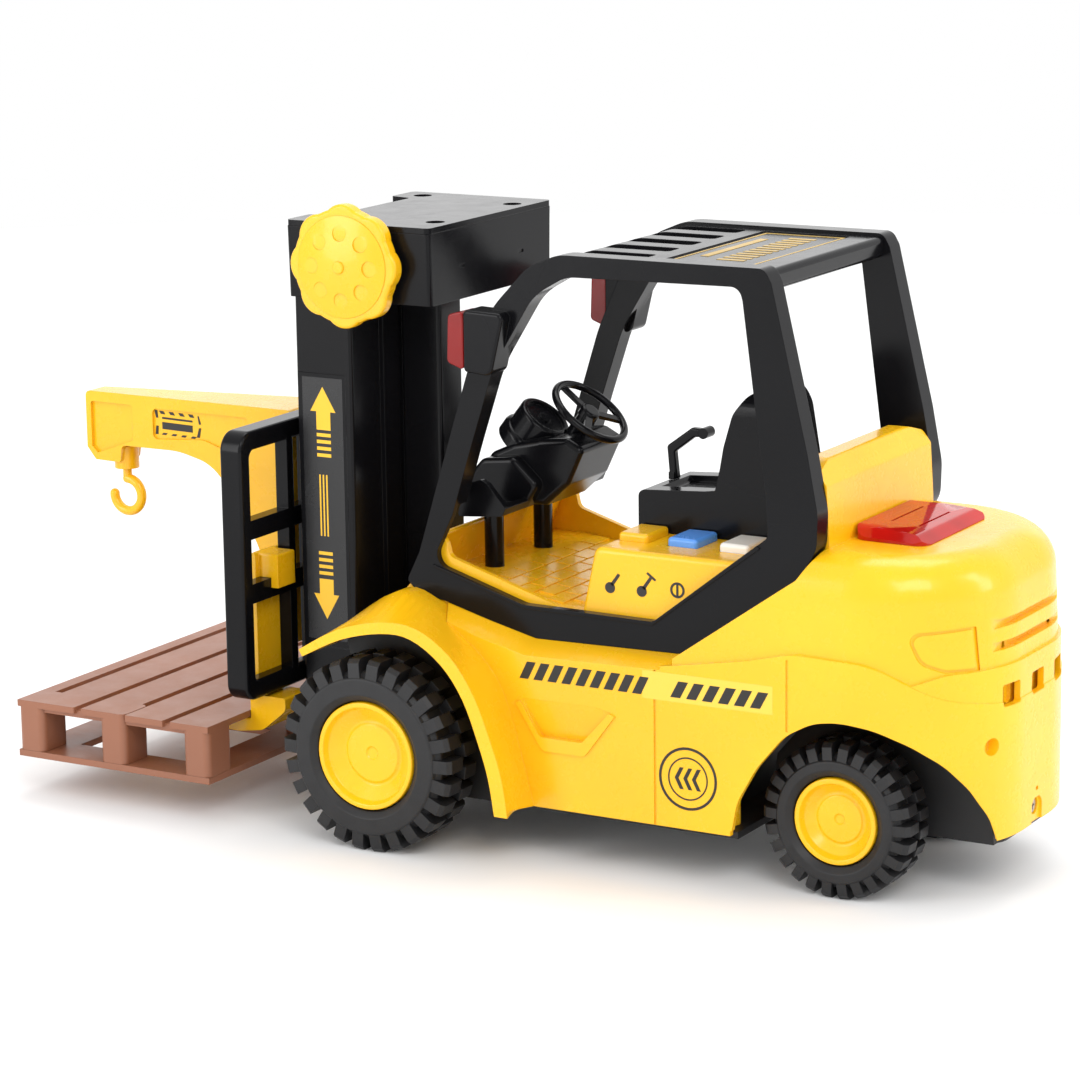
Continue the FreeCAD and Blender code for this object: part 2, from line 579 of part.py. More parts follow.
def guard_side():
    """Left side frame of the overhead guard, with its headlamp housing."""
    plate = prism_y(GUARD_OUTER, *GUARD_Y).cut(prism_y(GUARD_INNER, 40, 60))
    keep = prism_y([(-140.0, 112.2), (-118.0, 112.2), (-118.0, 119.0), (22.0, 119.0),
                    (22.0, 220.0), (-140.0, 220.0)], 38, 60)
    thick = prism_y(GUARD_OUTER, PILLAR_Y, GUARD_Y[1]).cut(prism_y(GUARD_INNER, 38, 60))
    frame = plate.fuse(thick.common(keep))
    frame = rounded(frame, 0.8, lambda e: abs(e.CenterOfMass.y - GUARD_Y[1]) < 0.01)
    lip = prism_y([(-24.0, 87.6), (-73.6, 87.2), (-112.0, 116.9), (-113.0, 115.9),
                   (-73.3, 85.9), (-24.0, 86.2), (11.0, 97.0), (11.6, 98.0)],
                  GUARD_Y[1] - 0.3, GUARD_Y[1] + 0.7)
    frame = frame.cut(box(-4.85, 4.0, 44.4, 56.0, 166.5, 187.3))
    return fuse([frame, lip, lamp_housing()])


def lamp_housing():
    body = prism_y([(-20.6, 187.0, 2), (-4.9, 187.6, 1.5), (-4.9, 166.6, 1.5), (-15.4, 165.8, 3)],
                   44.0, 54.5)
    body = rounded(body, 1.0, lambda e: abs(e.CenterOfMass.y - 54.5) < 0.01
                   and e.CenterOfMass.x < -5.5)
    return body.cut(box(-7.0, -4.0, 45.5, 53.0, 169.0, 185.4))


def lamp_lens():
    return rounded(prism_y([(-4.8, 187.2, 1.2), (1.2, 185.6, 1.8), (1.8, 169.4, 1.8),
                            (-4.8, 167.0, 1.2)], 44.5, 54.1), 0.6,
                   lambda e: abs(abs(e.CenterOfMass.y - 49.3) - 4.8) < 0.01)


def roof_panel():
    """Roof between the side frames, with vent slots and a framed label recess."""
    y = PILLAR_Y - 0.05
    plate = prism_y([(-113.0, 206.4, 2), (-40.0, 206.4, 12), (-30.0, 202.8), (-31.4, 200.0),
                     (-40.6, 203.4, 10), (-113.0, 203.2)], -y, y)
    rear = prism_y([(-115.0, 206.4, 2), (-108.0, 206.4), (-106.0, 199.0, 2), (-114.0, 199.0, 2)],
                   -y, y)
    roof = plate.fuse(rear)
    for i in range(5):
        y0 = (i - 2) * 16.4 - 4.4
        roof = roof.cut(prism_z([(-65.0, y0, 2), (-65.0, y0 + 8.8, 2), (-37.0, y0 + 8.8, 2),
                                 (-37.0, y0, 2)], 190, 215))
    label = prism_z([(-104.5, -37.0, 2), (-104.5, 37.0, 2), (-71.5, 37.0, 2), (-71.5, -37.0, 2)],
                    205.9, 210)
    return roof.cut(label)


# ---------------------------------------------------------------- cab fittings
def dashboard():
    """Dash on two posts: open tray with end plates, console block and instrument hood."""
    plate = [(10.0, 112.1, 1), (-7.8, 113.6, 1), (-9.2, 116.6, 1.2), (-2.2, 124.4, 1.5),
             (0.4, 125.8, 1), (6.6, 123.8, 1)]
    tray = prism_y([(10.0, 112.1, 1), (-7.8, 113.6, 1), (-9.2, 116.6, 0.5), (-7.2, 117.6, 0.5),
                    (-5.6, 115.6, 0.5), (10.0, 115.0)], -34.5, 34.5)
    ends = [prism_y(plate, 33.0, 35.5), prism_y(plate, -35.5, -33.0)]
    console = prism_y([(16.0, 113.0, 1), (16.0, 121.0, 2), (8.5, 131.0, 4), (0.0, 134.8, 4),
                       (-10.5, 137.2, 4), (-21.5, 138.3, 3), (-28.1, 135.0, 2),
                       (-21.9, 122.0, 3), (-13.0, 114.0)], -15.0, 15.0)
    console = rounded(console, 2.2, lambda e: abs(abs(e.CenterOfMass.y) - 15.0) < 0.01
                      and e.CenterOfMass.z > 115)
    pod = prism_y([(18.0, 113.0), (18.0, 120.0, 3), (9.5, 129.6, 4), (-3.0, 131.0, 4),
                   (-13.0, 122.0, 3), (-8.0, 114.0)], -20.0, 20.0)
    pod = rounded(pod, 1.8, lambda e: abs(abs(e.CenterOfMass.y) - 20.0) < 0.01
                  and e.CenterOfMass.z > 115)
    axis = wheel_axis()
    foot = V(-0.5, 3.0, 134.8)
    saddle = rounded(Part.makeCylinder(11.0, 5.5, foot - axis * 3.0, axis), 2.0,
                     lambda e: e.CenterOfMass.z > 135 and len(e.Vertexes) == 1)
    hood = rounded(Part.makeCylinder(9.6, 10.6, foot, axis), 1.0,
                   lambda e: e.CenterOfMass.z > 140 and len(e.Vertexes) == 1)
    hood = hood.cut(Part.makeCylinder(7.6, 3.0, foot + axis * 9.3, axis))
    hood = hood.fuse(Part.makeCylinder(2.2, 1.0, foot + axis * 9.0, axis))
    collar = Part.makeCylinder(4.6, 5.0, COLUMN_FOOT - axis * 3.0, axis)
    x, y = POST_AT
    posts = [cyl_z(x, side * y, 3.4, TOE_Z - 2.1, 116.0) for side in (-1, 1)]
    dash = fuse([tray, console, pod, saddle, hood, collar] + ends + posts)
    dash = dash.cut(Part.makeCylinder(2.05, 16.0, COLUMN_FOOT - axis * 10.0, axis))
    return dash.cut(Part.makeCylinder(3.5, 20.0, COLUMN_FOOT + axis * 2.6, axis))


def wheel_axis():
    t = math.radians(WHEEL_TILT)
    return V(-math.sin(t), 0, math.cos(t))


COLUMN_FOOT = V(WHEEL_AT[0], 0, WHEEL_AT[1]) - wheel_axis() * 17.0


def steering_wheel():
    """Ring, three spokes, hub and the stub shaft that turns in the dash collar."""
    ring = Part.makeTorus(14.0, 1.35)
    hub = Part.makeCylinder(3.6, 3.4, V(0, 0, -2.2))
    hub = rounded(hub, 1.0, lambda e: e.CenterOfMass.z > 1.1)
    shaft = Part.makeCylinder(2.0, 24.0, V(0, 0, -24.0))
    boss = Part.makeCylinder(3.0, 11.5, V(0, 0, -13.5))
    spokes = []
    for angle in (0, 120, 240):
        spoke = Part.makeBox(12.0, 2.6, 1.3, V(1.6, -1.3, -1.0))
        spoke.rotate(V(0, 0, 0), V(0, 0, 1), angle)
        spokes.append(spoke)
    wheel = fuse([ring, hub, shaft, boss] + spokes)
    wheel.rotate(V(0, 0, 0), V(0, 1, 0), -WHEEL_TILT)
    wheel.translate(V(WHEEL_AT[0], 0, WHEEL_AT[1]))
    return wheel


def seat():
    """Seat moulding: box base, sunken cushion and a tall back with round shoulders."""
    base = prism_y([(-50.8, CONSOLE_Z + 0.05), (-50.8, 123.8, 2.5), (-76.0, 125.4), (-80.0, 126.0),
                    (-81.8, 133.3), (-83.2, 141.0, 20), (-86.6, 152.4, 12), (-91.5, 159.6, 6),
                    (-97.5, 160.4, 3), (-100.0, 152.0, 20), (-103.0, 134.0, 20),
                    (-106.0, CONSOLE_Z + 0.05)], -17.0, 17.0)
    shoulders = prism_x([(-17.0, 100.0), (-17.0, 160.5, 9), (17.0, 160.5, 9), (17.0, 100.0)],
                        -120, -40)
    base = base.common(shoulders)
    scoop = prism_y([(-55.0, 126.0), (-57.5, 122.2, 1.5), (-79.0, 122.8, 3), (-80.2, 133.0),
                     (-70.0, 133.0)], -10.4, 10.4)
    base = base.cut(scoop)
    ribs = []
    for i in range(4):
        y = -6.6 + i * 4.4
        ribs.append(box(-77.0, -60.0, y - 0.45, y + 0.45, 121.9, 126))
    return base.cut(ribs)


def hand_lever():
    """Bent control lever on a foot at the front of the seat base."""
    foot = prism_y([(-52.6, 124.1), (-54.8, 124.2), (-54.8, 126.6), (-52.6, 126.6)], -5.5, -1.5)
    stalk = prism_y([(-52.6, 124.4), (-55.6, 124.4), (-54.6, 133.6, 1), (-62.3, 139.4, 1),
                     (-66.0, 139.6), (-66.0, 142.4), (-61.2, 142.6, 1), (-51.6, 135.6, 1.5)],
                    -5.1, -2.0)
    stalk = rounded(stalk, 0.7, lambda e: abs(abs(e.CenterOfMass.y + 3.55) - 1.55) < 0.01)
    grip = cyl_y(-66.2, 141.2, 1.9, -6.4, -0.8)
    return fuse([foot, stalk, grip])


def button(x):
    hx, hy = BUTTON_HALF
    cap = box(x - hx, x + hx, BUTTON_Y - hy, BUTTON_Y + hy, 104.0, 112.3)
    cap = rounded(cap, 1.3, lambda e: e.CenterOfMass.z > 112.2 or along(e, V(0, 0, 1)))
    flange = box(x - 3.8, x + 3.8, BUTTON_Y - hy - 1.2, BUTTON_Y + hy + 1.2, 105.0, 106.8)
    stem = cyl_z(x, BUTTON_Y, 2.0, 101.9, 104.5)
    return fuse([cap, flange, stem])


def sound_board():
    """Circuit board with a tactile switch under each button and two mounting legs."""
    board = box(-110.0, -54.0, 8.0, 38.6, 96.0, 97.6)
    made = [board]
    for x in BUTTON_X.values():
        made.append(box(x - 3, x + 3, BUTTON_Y - 3, BUTTON_Y + 3, 97.5, 99.2))
        made.append(cyl_z(x, BUTTON_Y, 1.4, 99.0, 100.0))
    made.append(box(-105.0, -93.0, 10.5, 14.5, 97.5, 99.0))
    return fuse(made)


def speaker():
    """Speaker behind the rear vents: magnet, basket and cone."""
    basket = Part.makeCone(9.0, 18.0, 8.0, V(-171.0, 0, 81.0), V(-1, 0, 0))
    cone = Part.makeCone(4.0, 15.5, 6.0, V(-173.2, 0, 81.0), V(-1, 0, 0))
    magnet = cyl_x(0, 81.0, 8.0, -171.5, -165.5)
    return fuse([basket.cut(cone), magnet])


def warning_light():
    """Red light cover in the rear deck, with two moulded slits on top."""
    top = prism_z(deck_window(2.6), DECK_Z - 2.0, DECK_Z + 6.0)
    slope = prism_y([(-133.0, 90.0), (-133.0, 121.0), (-138.0, 121.6, 3), (-157.0, 119.6, 4),
                     (-161.6, 116.6), (-161.6, 90.0)], -40, 40)
    top = top.common(slope).common(prism_x([(-27.0, 90), (-26.2, 117.0), (-21.5, 121.0, 5),
                                            (21.5, 121.0, 5), (26.2, 117.0), (27.0, 90)],
                                           -170, -120))
    plug = prism_z(deck_window(-0.2), DECK_Z - 7.0, DECK_Z - 0.5)
    cover = fuse([top.cut(deck_solid()), plug])
    cover = cover.cut(prism_z(deck_window(-2.0), DECK_Z - 8.0, DECK_Z + 0.9))
    return cover.cut([box(x - 0.4, x + 0.4, -12.5, 12.5, 119.2, 124) for x in (-143.0, -152.6)])


def deck_solid():
    """The body's skin around the deck opening, so the cover's lip rests on it."""
    return rear_block(-0.05).cut(prism_z(deck_window(0.2), 100, 130))


def light_lamp():
    """Small lamp on a stem under the red cover."""
    made = [cyl_z(-147.5, 0, 2.5, 100.0, 110.0), Part.makeSphere(2.5, V(-147.5, 0, 110.0)),
            box(-153.5, -141.5, -6.0, 6.0, 98.6, 100.1)]
    return fuse(made)


# ---------------------------------------------------------------- mast


def mast_frame():
    """Two box columns joined by a rear web and a central cord casing."""
    column = box(*MAST_X, *MAST_Y, 14.0, HEAD_Z[0] - 0.1)
    column = rounded(column, 1.2, lambda e: along(e, V(0, 0, 1)))
    column = column.cut(box(MAST_X[0] + 2, MAST_X[1] - 2, MAST_Y[0] + 2, MAST_Y[1] - 2, 10, 190))
    recess = box(MAST_X[0] + 2.8, MAST_X[1] + 1.0, MAST_Y[1] - 0.3, MAST_Y[1] + 1, 60.0, 158.0)
    column = column.cut(recess)
    web = box(MAST_X[0] - 1.8, MAST_X[0] + 0.6, -MAST_Y[0] - 2.0, MAST_Y[0] + 2.0, 20.0,
              HEAD_Z[0] - 0.1)
    casing = box(FRONT_X + 2.9, MAST_X[0] - 1.7, -7.5, 7.5, 66.0, HEAD_Z[0] - 0.1)
    casing = rounded(casing, 1.5, lambda e: along(e, V(0, 0, 1)))
    casing = casing.cut(box(FRONT_X + 5.1, MAST_X[0] - 1.8, -5.3, 5.3, 68.2, 190))
    foot = box(MAST_X[0] - 0.2, MAST_X[1], -MAST_Y[0] - 1, MAST_Y[0] + 1, 14.0, 20.0)
    mast = fuse([column, mirrored(column), web, casing, foot])
    for x, y, z in MAST_SCREW_AT:
        mast = mast.cut(cyl_x(y, z, 1.5, x - 10, x + 1))
    return mast


def mast_screws():
    return Part.makeCompound([screw(x, y, z, 9.0, V(-1, 0, 0)) for x, y, z in MAST_SCREW_AT])


def mast_head():
    """Open-topped gearbox housing on the columns; the knob shaft runs through it."""
    x0, x1 = HEAD_X
    shell = prism_x([(-HEAD_Y + 0.8, HEAD_Z[0]), (HEAD_Y - 0.8, HEAD_Z[0]),
                     (HEAD_Y, HEAD_Z[1] - 2.1), (-HEAD_Y, HEAD_Z[1] - 2.1)], x0, x1)
    shell = rounded(shell, 1.5, lambda e: abs(e.CenterOfMass.z - 197) < 6
                    and abs(abs(e.CenterOfMass.y) - HEAD_Y) < 1)
    shell = shell.cut(box(x0 + 2, x1 - 2, -HEAD_Y + 2.8, HEAD_Y - 2.8, HEAD_Z[0] + 2, 230))
    shell = shell.cut(cyl_y(*KNOB, SHAFT_R + 0.08, -60, 60))
    shell = shell.cut(box(KNOB[0] + 6.0, KNOB[0] + 11.0, -4.0, 4.0, 180, 190))
    marks = [box(x0 - 1, x0 + 0.4, y - 1.6, y + 1.6, 196.0, 197.2) for y in (-20.0, 20.0)]
    bosses = [cyl_z(x, y, 3.0, HEAD_Z[0] + 1, HEAD_Z[1] - 6.05) for x, y in HEAD_SCREW_AT]
    shell = fuse([shell] + bosses).cut(marks)
    return shell.cut([cyl_z(x, y, 1.35, 190, 220) for x, y in HEAD_SCREW_AT])


HEAD_SCREW_AT = [(22.5, -26.0), (22.5, 26.0), (64.0, -33.0), (64.0, 33.0)]


def mast_head_cover():
    x0, x1 = HEAD_X
    lid = prism_z([(x0, -HEAD_Y, 2), (x0, HEAD_Y, 2), (x1, HEAD_Y, 2), (x1, 27.0, 1),
                   (x1 - 9.0, 25.0, 2), (x1 - 9.0, -25.0, 2), (x1, -27.0, 1), (x1, -HEAD_Y, 2)],
                  HEAD_Z[1] - 2.05, HEAD_Z[1])
    for x, y in HEAD_SCREW_AT:
        lid = lid.fuse(cyl_z(x, y, 4.7, HEAD_Z[1] - 6.0, HEAD_Z[1] - 2.0))
        lid = lid.cut([cyl_z(x, y, 1.5, 200, 220), cyl_z(x, y, 3.3, HEAD_Z[1] - 4.4, 220)])
    return lid


def head_screws():
    made = []
    for x, y in HEAD_SCREW_AT:
        made.append(screw(x, y, HEAD_Z[1] - 4.4, 7.0, V(0, 0, -1), head_r=2.5))
    return Part.makeCompound(made)


def knob_shaft():
    return fuse([cyl_y(*KNOB, SHAFT_R, -HEAD_Y - 1.6, 48.6),
                 cyl_y(*KNOB, 5.0, -HEAD_Y - 3.2, -HEAD_Y - 0.6)])


def lift_spool():
    spool = fuse([cyl_y(*KNOB, SPOOL_R, -8.0, 8.0), cyl_y(*KNOB, 10.3, -10.0, -8.0),
                  cyl_y(*KNOB, 10.3, 8.0, 10.0)])
    return spool.cut(cyl_y(*KNOB, SHAFT_R, -20, 20))


def lift_cord():
    return cyl_z(KNOB[0] + SPOOL_R + 0.6, 0.0, 0.5, SLIDER_Z[1], KNOB[1])


def lift_knob():
    """Hand knob: shallow dome with eight soft lobes, a rim groove and finger dimples."""
    disc = cyl_y(*KNOB, 19.9, 43.2, 48.4)
    lobes, dimples = [], []
    for i in range(8):
        a = math.radians(i * 45.0)
        lobes.append(cyl_y(KNOB[0] + 13.4 * math.cos(a), KNOB[1] + 13.4 * math.sin(a),
                           8.0, 43.2, 48.4))
        dimples.append(cyl_y(KNOB[0] + 11.6 * math.cos(a), KNOB[1] + 11.6 * math.sin(a),
                             2.7, 49.35, 52.0))
    knob = fuse([disc] + lobes)
    knob = rounded(knob, 1.2, lambda e: abs(abs(e.CenterOfMass.y - 45.8) - 2.6) < 0.01)
    crown = Part.makeSphere(92.0, V(KNOB[0], -41.6, KNOB[1]))
    dome = cyl_y(*KNOB, 17.6, 47.0, 52.0).common(crown)
    hub = cyl_y(*KNOB, 6.0, 42.4, 43.4)
    knob = fuse([knob, hub, dome]).cut(dimples)
    cap = rounded(cyl_y(*KNOB, 2.2, 49.0, 51.2), 0.6, lambda e: e.CenterOfMass.y > 51.1)
    return fuse([knob, cap]).cut(cyl_y(*KNOB, SHAFT_R, 40, 48.6))


# ---------------------------------------------------------------- carriage
SLIDER_Z = (52.0, 108.0)


def carriage_slider():
    """Runner that slides between the mast columns and holds the backrest."""
    x0 = MAST_X[0] + 0.6 + 0.6
    runner = box(x0, MAST_X[1] - 1.0, -MAST_Y[0] + 0.35, MAST_Y[0] - 0.35, *SLIDER_Z)
    runner = runner.cut(box(x0 + 3, MAST_X[1] - 4, -12.5, 12.5, SLIDER_Z[0] - 1, 99.0))
    neck = box(MAST_X[1] - 1.1, BACKREST_X[0] - 0.02, -15.0, 15.0, 56.0, 104.0)
    return fuse([runner, neck])


def backrest():
    """Load backrest: deep outer frame, thinner inner bars and a solid centre plate."""
    x0, x1 = BACKREST_X
    y, (z0, z1) = BACKREST_Y, BACKREST_Z
    rim_wire = [(-y, z0, 6), (-y, z1, 7), (y, z1, 7), (y, z0, 6)]
    hole = [(-y + 6, z0 + 7, 2), (-y + 6, z1 - 7, 3), (y - 6, z1 - 7, 3), (y - 6, z0 + 7, 2)]
    frame = prism_x(rim_wire, x0, x1).cut(prism_x(hole, x0 - 1, x1 + 1))
    frame = rounded(frame, 1.2, lambda e: abs(e.CenterOfMass.x - x1) < 0.01
                    or abs(e.CenterOfMass.x - x0) < 0.01)
    frame = frame.cut(box(x0 + 5.0, x1 + 1, -47.0, 47.0, z0 - 1, z0 + 12))
    bars = [box(x0, x0 + 5.0, -y + 5, y - 5, a, b) for a, b in ((77.0, 84.0), (100.0, 106.8))]
    for side in (-1, 1):
        y0, y1 = sorted((side * 26.4, side * 30.2))
        bars.append(box(x0, x0 + 5.0, y0, y1, z0 + 6, z1 - 6))
    bars.append(box(x0, x0 + 5.0, -16.5, 16.5, z0 + 6, z1 - 6))
    return fuse([frame] + bars)


def fork(y):
    """Fork: shank hooked over the backrest's bar, and a tapered blade."""
    x0, x1 = BACKREST_X[0], BACKREST_X[1]
    bar = x0 + 5.05
    side = [(bar, 93.0, 1), (x1, 92.0, 1), (x1, 31.9, 0.5), (165.0, 31.2, 1), (167.0, 30.2),
            (165.0, 29.2), (x1 + 6.0, 26.6, 8), (x1 - 5.0, 28.2, 6), (77.6, 36.4, 3),
            (77.6, 41.0, 1), (bar, 41.0)]
    shank = prism_y(side, y - FORK_W / 2, y + FORK_W / 2)
    hook = box(x0 - 3.0, x1 - 1.0, y - 5.4, y + 5.4, 84.05, 92.6)
    lip = box(x0 - 3.0, x0 - 0.05, y - 5.4, y + 5.4, 80.5, 85.0)
    return fuse([shank, rounded(hook, 0.8, lambda e: e.CenterOfMass.z > 92.5), lip])


def jib_half_width(x):
    return 13.4 - 8.6 * (x - BACKREST_X[1]) / (TIP_X - BACKREST_X[1])


def jib_arm():
    """Tapered crane jib with a hollow box tip and a gusset down its root."""
    x0, x1 = BACKREST_X[1] + 0.05, TIP_X
    side = [(x0, 138.5, 2), (x1, 136.8, 2), (x1, 115.5, 1), (x1 - 4.0, 111.0, 1),
            (x1 - 16.0, 111.0, 1), (x1 - 17.0, 117.5, 2), (146.0, 118.2, 40), (131.0, 115.0, 20),
            (119.5, 104.0, 30), (110.2, 88.0, 40), (102.0, 69.6, 40), (96.6, 53.0, 1.5),
            (x0, 53.0)]
    w0, w1 = jib_half_width(x0), jib_half_width(x1)
    taper = prism_z([(x0, -w0), (x0, w0), (x1, w1), (x1, -w1)], 50, 145)
    arm = prism_y(side, -20, 20).common(taper)
    panel = [(112.0, 133.8, 2), (158.0, 133.0, 2), (158.0, 121.5, 2), (134.0, 123.5, 10),
             (116.0, 118.5, 3)]
    w2, w3 = jib_half_width(112.0) - 0.9, jib_half_width(158.0) - 0.9
    core = prism_z([(112.0, w2), (112.0, 20), (158.0, 20), (158.0, w3)], 50, 145)
    recess = prism_y(panel, 0, 20).common(core)
    tip = [(168.0, 133.2, 1), (TIP_X - 2.4, 133.0, 1), (TIP_X - 2.4, 116.0), (TIP_X - 5.0, 113.6),
           (168.0, 120.0, 1)]
    w4, w5 = jib_half_width(168.0) - 1.2, jib_half_width(TIP_X) - 1.2
    tip_core = prism_z([(160.0, w4 + 0.7), (160.0, 20), (TIP_X, 20), (TIP_X, w5)], 50, 145)
    tip_recess = prism_y(tip, 0, 20).common(tip_core)
    arm = arm.cut([recess, mirrored(recess), tip_recess, mirrored(tip_recess)])
    hub = cyl_z(HOOK_X, 0, 4.6, 108.0, 116.5)
    return fuse([arm, hub]).cut(cyl_z(HOOK_X, 0, 1.75, 100, 114.0)).cut(
        cyl_z(HOOK_X, 0, 2.9, 110.5, 114.0))


def crane_hook():
    """Swivelling hook: bulb-ended shank and an open C of round section."""
    r, t, zc = 6.2, 1.8, 97.5
    arc = Part.Wire(Part.Arc(*[V(HOOK_X + r * math.cos(math.radians(a)), 0,
                                 zc + r * math.sin(math.radians(a)))
                               for a in (90, 225, 360)]).toShape())
    start = Part.Wire(Part.makeCircle(t, V(HOOK_X, 0, zc + r), V(1, 0, 0)))
    bend = arc.makePipeShell([start], True, False)
    point = Part.makeSphere(t, V(HOOK_X + r, 0, zc))
    knuckle = Part.makeSphere(t, V(HOOK_X, 0, zc + r))
    shank = cyl_z(HOOK_X, 0, 1.68, zc + r, 112.0)
    bulb = cyl_z(HOOK_X, 0, 2.6, 111.0, 113.4)
    return fuse([bend, point, knuckle, shank, bulb])


# ---------------------------------------------------------------- pallet
def pallet_deck():
    """Upper half of the pallet: five boards, thin runners under them and nine blocks."""
    x0, x1 = PALLET_X
    parts = []
    gap = 3.2
    wide = 16.3
    for i in range(5):
        a = x0 + i * (wide + gap)
        parts.append(box(a, min(a + wide, x1), -PALLET_Y, PALLET_Y, 32.6, PALLET_Z[1]))
    for y in (-PALLET_Y + 7.5, 0.0, PALLET_Y - 7.5):
        parts.append(box(x0 + 1, x1 - 1, y - 6.0, y + 6.0, 31.0, 33.6))
        for x in block_places():
            top = PALLET_Z[1] if abs(y) > 1 else 32.8
            block = box(x - BLOCK_W / 2, x + BLOCK_W / 2, y - 7.5, y + 7.5, 16.4, top)
            parts.append(rounded(block, 2.6, lambda e: along(e, V(0, 0, 1))))
    return fuse(parts)


def block_places():
    x0, x1 = PALLET_X
    return (x0 + BLOCK_W / 2, (x0 + x1) / 2, x1 - BLOCK_W / 2)


def pallet_base():
    """Lower boards under the blocks, glued to the deck's blocks."""
    x0, x1 = PALLET_X
    boards = [box(x0, x1, y - 7.5, y + 7.5, PALLET_Z[0], 16.35)
              for y in (-PALLET_Y + 7.5, 0.0, PALLET_Y - 7.5)]
    boards += [box(x - 8.2, x + 8.2, -PALLET_Y, PALLET_Y, PALLET_Z[0], 16.35)
               for x in (x0 + 8.2, x1 - 8.2)]
    return fuse(boards)


# ---------------------------------------------------------------- the assembly
NODES = {
    "body_shell": body_shell,
    "chassis_base": chassis_base,
    "body_screws": body_screws,
    "battery_box": battery_box,
    "battery_cells": battery_cells,
    "battery_cover": battery_cover,
    "battery_cover_screw": battery_cover_screw,
    "sound_board": sound_board,
    "speaker": speaker,
    "warning_light": warning_light,
    "light_lamp": light_lamp,
    "button_yellow": lambda: button(BUTTON_X["button_yellow"]),
    "button_blue": lambda: button(BUTTON_X["button_blue"]),
    "button_white": lambda: button(BUTTON_X["button_white"]),
    "guard_side_left": guard_side,
    "guard_side_right": lambda: mirrored(guard_side()),
    "roof_panel": roof_panel,
    "lamp_lens_left": lamp_lens,
    "lamp_lens_right": lambda: mirrored(lamp_lens()),
    "dashboard": dashboard,
    "steering_wheel": steering_wheel,
    "seat": seat,
    "hand_lever": hand_lever,
    "mast_frame": mast_frame,
    "mast_screws": mast_screws,
    "mast_head": mast_head,
    "mast_head_cover": mast_head_cover,
    "head_screws": head_screws,
    "knob_shaft": knob_shaft,
    "lift_spool": lift_spool,
    "lift_cord": lift_cord,
    "lift_knob": lift_knob,
    "carriage_slider": carriage_slider,
    "backrest": backrest,
    "fork_left": lambda: fork(FORK_Y),
    "fork_right": lambda: fork(-FORK_Y),
    "jib_arm": jib_arm,
    "crane_hook": crane_hook,
    "pallet_deck": pallet_deck,
    "pallet_base": pallet_base,
    "front_tyre_left": front_tyre,
    "front_tyre_right": lambda: mirrored(front_tyre()),
    "front_rim_left": front_rim,
    "front_rim_right": lambda: mirrored(front_rim()),
    "front_axle": lambda: axle_rod(FRONT_AXLE, FRONT_Y[1] - 9.6),
    "rear_tyre_left": rear_tyre,
    "rear_tyre_right": lambda: mirrored(rear_tyre()),
    "rear_rim_left": rear_rim,
    "rear_rim_right": lambda: mirrored(rear_rim()),
    "rear_axle": lambda: axle_rod(REAR_AXLE, REAR_Y[1] - 8.6),
}

os.makedirs("parts", exist_ok=True)
for name, make in NODES.items():
    shape = make()
    shape.exportStep("parts/%s.step" % name)
    b = shape.BoundBox
    print("%-20s solids %2d valid %s  x %.1f %.1f  y %.1f %.1f  z %.1f %.1f" % (
        name, len(shape.Solids), shape.isValid(), b.XMin, b.XMax, b.YMin, b.YMax,
        b.ZMin, b.ZMax))
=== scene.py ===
"""Toy forklift: materials, stickers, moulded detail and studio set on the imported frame."""
import bpy
import bmesh
import json
import math
from mathutils import Vector, Matrix


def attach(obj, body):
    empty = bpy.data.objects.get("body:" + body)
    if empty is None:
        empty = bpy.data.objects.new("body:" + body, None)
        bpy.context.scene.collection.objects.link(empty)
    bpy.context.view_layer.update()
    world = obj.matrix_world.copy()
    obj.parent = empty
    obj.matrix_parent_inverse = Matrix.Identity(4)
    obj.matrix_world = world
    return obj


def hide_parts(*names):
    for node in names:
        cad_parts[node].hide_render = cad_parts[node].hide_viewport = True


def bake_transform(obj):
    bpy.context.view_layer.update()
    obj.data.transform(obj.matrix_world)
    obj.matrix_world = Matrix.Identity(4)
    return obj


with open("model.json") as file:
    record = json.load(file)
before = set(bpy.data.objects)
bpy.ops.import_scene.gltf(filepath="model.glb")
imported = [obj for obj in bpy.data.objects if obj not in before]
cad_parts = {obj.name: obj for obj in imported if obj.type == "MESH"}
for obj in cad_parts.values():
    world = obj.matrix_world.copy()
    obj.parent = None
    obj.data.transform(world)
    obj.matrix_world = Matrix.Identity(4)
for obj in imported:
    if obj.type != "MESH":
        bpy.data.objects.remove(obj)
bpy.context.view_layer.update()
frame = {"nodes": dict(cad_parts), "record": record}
NODES = frame["nodes"]
MM = 0.001

# faces that carry marks, and the cord's run (mm, in the row frame)
SIDE_Y = 57.0                # body sides
COLUMN_Y = 36.7              # outer faces of the mast columns
CONSOLE_Y = 46.0             # left face of the console
ROOF_Z = 205.9               # floor of the roof's label recess
FILM = 0.06                  # thickness of a clear or dark film
MARK = 0.12                  # thickness of a printed mark
JIB_ROOT_X, JIB_LENGTH = 92.5, 98.0
JIB_ROOT_HALF, JIB_TAPER = 13.4, 8.6
JIB_PANEL_DEPTH = 0.9
CORD_X, CORD_TOP_Z, CORD_BOTTOM_Z = 55.1, 198.0, 108.0
CORD_R, CORD_STRAND_RISE = 0.43, 0.06

# ---------------------------------------------------------------- colours (linear)
YELLOW = (0.93, 0.50, 0.006)
BLACK = (0.0045, 0.0045, 0.0055)
CHARCOAL = (0.016, 0.016, 0.017)
TYRE = (0.011, 0.011, 0.012)
BROWN = (0.29, 0.113, 0.060)
RED = (0.60, 0.012, 0.008)


# ---------------------------------------------------------------- node helpers
def new_material(name):
    m = bpy.data.materials.new(name)
    m.use_nodes = True
    tree = m.node_tree
    return m, tree, tree.nodes["Principled BSDF"]


